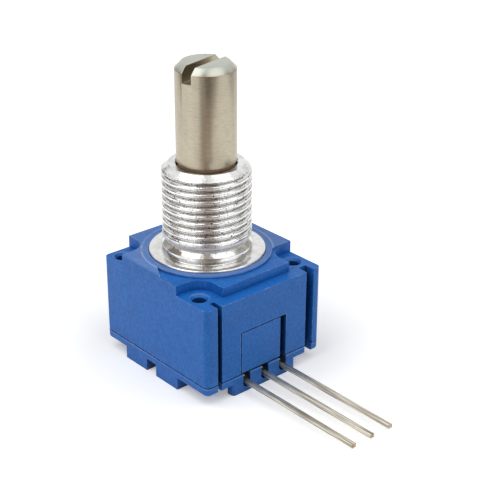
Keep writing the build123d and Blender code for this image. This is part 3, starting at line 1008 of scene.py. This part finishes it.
def reflected_only(target: bpy.types.Object, colour: str, middle: float = 0.0,
                   faded: tuple[float, float] | None = None) -> None:
    """Makes an object of the studio that only glossy rays see, so it neither hides nor shades anything.

    Args:
        target: The object.
        colour: Its matt colour.
        middle: The azimuth of its middle.
        faded: The cosines of the angles from its middle at which it is gone and at which it is solid.
    """
    sheet = matt_sheet(f"{target.name}_matt", colour)
    if faded is not None:
        flat = sheet.add(Kind.VECTOR_MATH, {"operation": "MULTIPLY", 1: (1, 1, 0)}, {0: sheet.place})
        out = sheet.add(Kind.VECTOR_MATH, {"operation": "NORMALIZE"}, {0: flat})
        turned = sheet.add(Kind.VECTOR_MATH, {"operation": "DOT_PRODUCT", 1: heading(middle)}, {0: out})
        sheet.feed("Alpha", sheet.add(Kind.MAP_RANGE, onto(0, 1, *faded), {0: turned.outputs["Value"]}))
    dress(target, sheet.material)
    target.visible_camera = False
    target.visible_diffuse = False
    target.visible_shadow = False
    target.visible_transmission = False


@dataclass(frozen=True)
class Card:
    """A matt card, bent round the object, that gives bright metal its darker parts."""

    name: str
    azimuth: float
    half_width: float
    line: tuple[tuple[float, float], ...]
    colour: str
    solid: float = 0.6
    steps: int = 12

    def build(self) -> bpy.types.Object:
        """Builds the card along its line of distances and levels.

        Returns:
            The card.
        """
        mesh = bmesh.new()
        rows = []
        for distance, level in self.line:
            turns = [self.azimuth + self.half_width * (2 * i / self.steps - 1) for i in range(self.steps + 1)]
            rows.append([mesh.verts.new((heading(turn) * distance + Vector((0, 0, level))) * MM)
                         for turn in turns])
        for near, far in zip(rows, rows[1:]):
            for i in range(self.steps):
                mesh.faces.new((near[i], near[i + 1], far[i + 1], far[i]))
        card = new_object(self.name, mesh)
        faded = tuple(cos(radians(self.half_width * share)) for share in (1.0, self.solid))
        reflected_only(card, self.colour, self.azimuth, faded)
        return card


@dataclass
class Lamp:
    """One soft box, placed by its angles as seen from the object."""

    name: str
    azimuth: float
    elevation: float
    distance: float
    size: tuple[float, float]
    power: float
    back_gap: float = 2.0

    def build(self) -> bpy.types.Object:
        """Hangs the soft box and aims it at the object.

        Returns:
            The lamp.
        """
        data = bpy.data.lights.new(self.name, "AREA")
        data.shape = "RECTANGLE"
        data.size = self.size[0] * MM
        data.size_y = self.size[1] * MM
        data.energy = self.power
        lamp = bpy.data.objects.new(self.name, data)
        bpy.context.scene.collection.objects.link(lamp)
        out = heading(self.azimuth, self.elevation)
        lamp.location = out * self.distance * MM
        lamp.rotation_euler = out.to_track_quat("Z", "Y").to_euler()
        self.back(lamp)
        return lamp

    def back(self, lamp: bpy.types.Object) -> None:
        """Closes the box behind its front, so that reflections show the front alone.

        Args:
            lamp: The lamp that is closed.
        """
        mesh = bmesh.new()
        for x, y in ((-1, -1), (1, -1), (1, 1), (-1, 1)):
            mesh.verts.new((x * self.size[0] / 2 * MM, y * self.size[1] / 2 * MM, self.back_gap * MM))
        mesh.faces.new(mesh.verts)
        back = new_object(f"{self.name}_back", mesh)
        back.matrix_world = lamp.matrix_basis
        reflected_only(back, "#000000")


@dataclass
class Studio:
    """Pale floor, white surroundings, soft boxes and the camera."""

    floor_level: float = -12.7
    floor_size: float = 3000.0
    # The floor's own glow under the object, past near_ramp, and what far_ramp adds
    floor_glow: float = 0.31
    middle_glow: float = 0.60
    far_glow: float = 0.44
    near_ramp: tuple[float, float] = (13.0, 36.0)
    far_ramp: tuple[float, float] = (100.0, 400.0)
    ambient: float = 0.18
    azimuth: float = -41.734
    elevation: float = 25.673
    roll: float = 0.378
    distance: float = 131.336
    aim_right: float = 4.56
    aim_up: float = -0.525
    lens: float = 88.33
    sensor: float = 36.0
    # The nearest and farthest that the camera sees, in metres
    clip: tuple[float, float] = (0.005, 20.0)
    cards: tuple[Card, ...] = (
        Card("card_low", -38.5, 34.0, ((24.0, -12.4), (100.0, -12.4)), "#d9c6b9", solid=0.45),
        Card("card_front", -33.0, 38.0, ((101.0, -12.4), (101.0, 70.0)), "#a69b8e", solid=0.22),
        Card("card_top", -41.7, 20.0, ((100.0, 70.0), (60.0, 130.0), (25.0, 150.0)), "#dccabd"),
        Card("card_left", -134.0, 27.0, ((120.0, 0.0), (120.0, 112.0)), "#a89c8c"),
        Card("card_far_left", -172.7, 15.0, ((120.0, 0.0), (120.0, 60.0)), "#cfccc5"),
        Card("card_right", 57.3, 21.0, ((120.0, 0.0), (120.0, 112.0)), "#cfccc5"),
        Card("card_far_right", 89.3, 15.0, ((120.0, 0.0), (120.0, 60.0)), "#cfccc5"),
    )
    lamps: tuple[Lamp, ...] = (
        Lamp("left_box", -105.0, 57.0, 300.0, (280.0, 260.0), 0.50),
        Lamp("right_box", 18.0, 59.0, 300.0, (260.0, 240.0), 0.33),
    )

    def floor(self) -> bpy.types.Object:
        """Lays the floor, white to the camera and in reflections, with the object's soft shadow.

        Returns:
            The floor.
        """
        mesh = bmesh.new()
        bmesh.ops.create_grid(mesh, x_segments=1, y_segments=1, size=self.floor_size / 2 * MM)
        floor = new_object("floor", mesh)
        floor.location.z = self.floor_level * MM
        sheet = matt_sheet("floor_paper_white", "#fafafa")
        away = sheet.add(Kind.VECTOR_MATH, {"operation": "LENGTH"}, {0: sheet.place}).outputs["Value"]
        # Painted shade around the object: the glow is weaker near it, so its shadow there shows darker than
        # on the far floor
        inner = onto(self.floor_glow, self.middle_glow, *(end * MM for end in self.near_ramp))
        outer = onto(0, self.far_glow, *(end * MM for end in self.far_ramp))
        near = sheet.add(Kind.MAP_RANGE, inner, {0: away})
        far = sheet.add(Kind.MAP_RANGE, outer, {0: away})
        level = sheet.add(Kind.MATH, {"operation": "ADD"}, {0: near, 1: far})
        glow = sheet.add(Kind.MATH, MULTIPLY, {0: self.seen_directly(sheet.tree), 1: level})
        sheet.shader.inputs["Emission Color"].default_value = WHITE
        sheet.feed("Emission Strength", glow)
        dress(floor, sheet.material)
        return floor

    def seen_directly(self, tree: bpy.types.NodeTree) -> bpy.types.Node:
        """Gives 1 on camera, glossy and transmission rays, and 0 on the rest.

        Args:
            tree: The tree that the nodes go into.

        Returns:
            The node whose output it is.
        """
        rays = add_node(tree, Kind.LIGHT_PATH).outputs
        either = {"operation": "MAXIMUM"}
        first = add_node(tree, Kind.MATH, either, {0: rays["Is Camera Ray"], 1: rays["Is Glossy Ray"]})
        return add_node(tree, Kind.MATH, either, {0: first, 1: rays["Is Transmission Ray"]})

    def surroundings(self) -> None:
        """Makes the world: white where it is seen, dimmer where it lights."""
        world = bpy.data.worlds.new("white_room")
        world.use_nodes = True
        tree = world.node_tree
        tree.nodes.clear()
        levels = onto(self.ambient, 1, 0, 1)
        strength = add_node(tree, Kind.MAP_RANGE, levels, {0: self.seen_directly(tree)})
        back = add_node(tree, Kind.BACKGROUND, {"Color": WHITE}, {"Strength": strength})
        add_node(tree, Kind.WORLD_OUTPUT, links={"Surface": back})
        bpy.context.scene.world = world

    def camera(self) -> bpy.types.Object:
        """Places the camera at the photograph's angle.

        Returns:
            The camera.
        """
        back = heading(self.azimuth, self.elevation)
        level = heading(self.azimuth + 90.0)
        upright = back.cross(level)
        tilt = radians(self.roll)
        right = level * cos(tilt) + upright * sin(tilt)
        up = upright * cos(tilt) - level * sin(tilt)
        place = (right * self.aim_right + Vector((0, 0, self.aim_up)) + back * self.distance) * MM
        turn = Matrix((right, up, back)).transposed().to_4x4()
        data = bpy.data.cameras.new("camera")
        data.lens = self.lens
        data.sensor_width = self.sensor
        data.clip_start, data.clip_end = self.clip
        camera = bpy.data.objects.new("camera", data)
        bpy.context.scene.collection.objects.link(camera)
        camera.matrix_world = Matrix.Translation(place) @ turn
        bpy.context.scene.camera = camera
        return camera

    def build(self) -> None:
        """Builds the whole studio and sets the plain view transform."""
        self.floor()
        self.surroundings()
        for card in self.cards:
            card.build()
        for lamp in self.lamps:
            lamp.build()
        self.camera()
        bpy.context.scene.view_settings.view_transform = "Standard"


def main() -> None:
    """Builds the object and its studio, and logs each piece."""
    logging.basicConfig(level=logging.INFO, format="%(name)s %(message)s")
    for piece in MouldedCase().build():
        LOG.info("case piece %s", piece.name)
    LOG.info("metal piece %s", ThreadedBushing().build().name)
    LOG.info("metal piece %s", SlottedShaft().build().name)
    for pin in TerminalPins().build():
        LOG.info("metal piece %s", pin.name)
    for node in CarriedOver().build():
        LOG.info("carried over %s", node)
    Studio().build()


if __name__ == "__main__":
    main()
